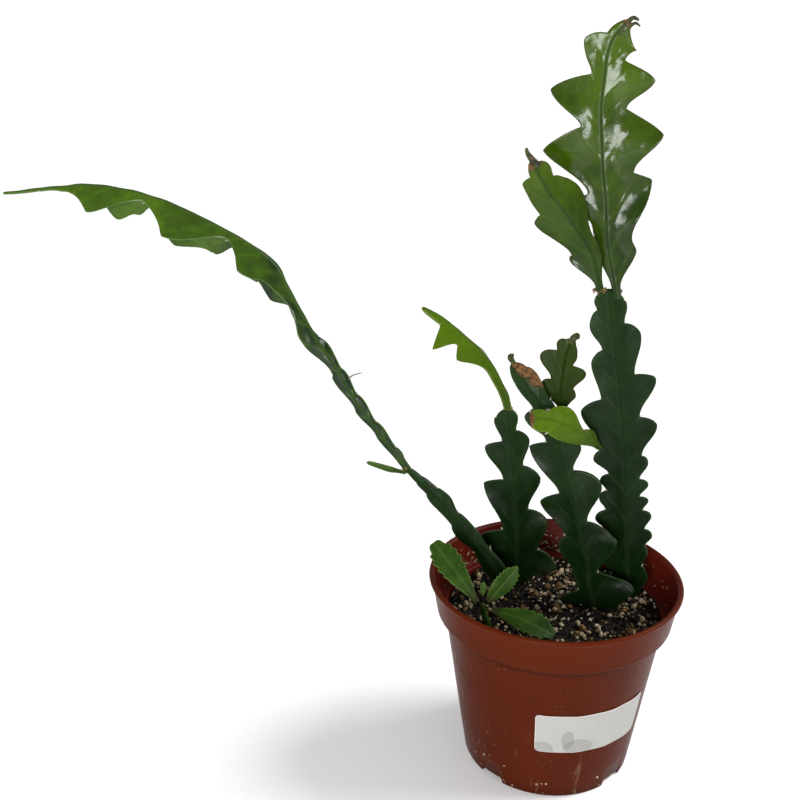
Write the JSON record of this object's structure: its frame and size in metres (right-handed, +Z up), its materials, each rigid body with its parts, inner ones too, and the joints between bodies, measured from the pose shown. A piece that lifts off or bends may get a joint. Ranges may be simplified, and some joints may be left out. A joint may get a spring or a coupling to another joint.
{
  "type": "potted fishbone cactus",
  "caption": "Fishbone cactus with flat zigzag stems and one long arching stem, in a tapered plastic nursery pot with a rolled rim, soil and a small seedling.",
  "frame": {"origin": "centre of the flat disc under the pot, on the ground", "axes": "+Z up; the labelled front of the pot faces -Y; the long arching stem reaches towards -X; +X is to the viewer's right"},
  "size_m": [0.2867, 0.104, 0.2979],
  "materials": {
    "pot_plastic": "satin terracotta-coloured moulded plastic",
    "label_paper": "matt white sticker, damp-stained at one corner",
    "potting_soil": "dark damp peat with perlite",
    "bark_chip": "dry tan bark",
    "perlite_chip": "rough cream mineral grain",
    "old_stem": "waxy dark green skin",
    "young_stem": "glossy bright green skin",
    "arching_stem": "waxy mid-green skin",
    "root_bark": "dry grey-brown root",
    "seedling_leaf": "fleshy matt green leaf"
  },
  "bodies": {
    "root": {"pot": "pot_plastic", "pot_label": "label_paper", "soil": "potting_soil", "soil_chip_1": "bark_chip", "soil_chip_2": "perlite_chip", "soil_chip_3": "perlite_chip", "soil_chip_4": "bark_chip", "soil_chip_5": "perlite_chip", "soil_chip_6": "perlite_chip", "soil_chip_7": "bark_chip", "soil_chip_8": "perlite_chip", "soil_chip_9": "perlite_chip", "soil_chip_10": "bark_chip", "soil_chip_11": "perlite_chip", "soil_chip_12": "perlite_chip", "stem_right_lower": "old_stem", "stem_right_upper": "young_stem", "stem_right_side_shoot": "young_stem", "stem_right_low_shoot": "young_stem", "stem_middle_lower": "old_stem", "stem_middle_upper": "young_stem", "stem_left_lower": "old_stem", "stem_left_upper": "young_stem", "stem_long_lower": "old_stem", "stem_long_upper": "arching_stem", "stem_long_side_shoot": "arching_stem", "aerial_root": "root_bark", "seedling_stem": "seedling_leaf", "seedling_leaf_left": "seedling_leaf", "seedling_leaf_right": "seedling_leaf", "seedling_leaf_upright": "seedling_leaf", "seedling_leaf_bud": "seedling_leaf"}
  },
  "joints": []
}
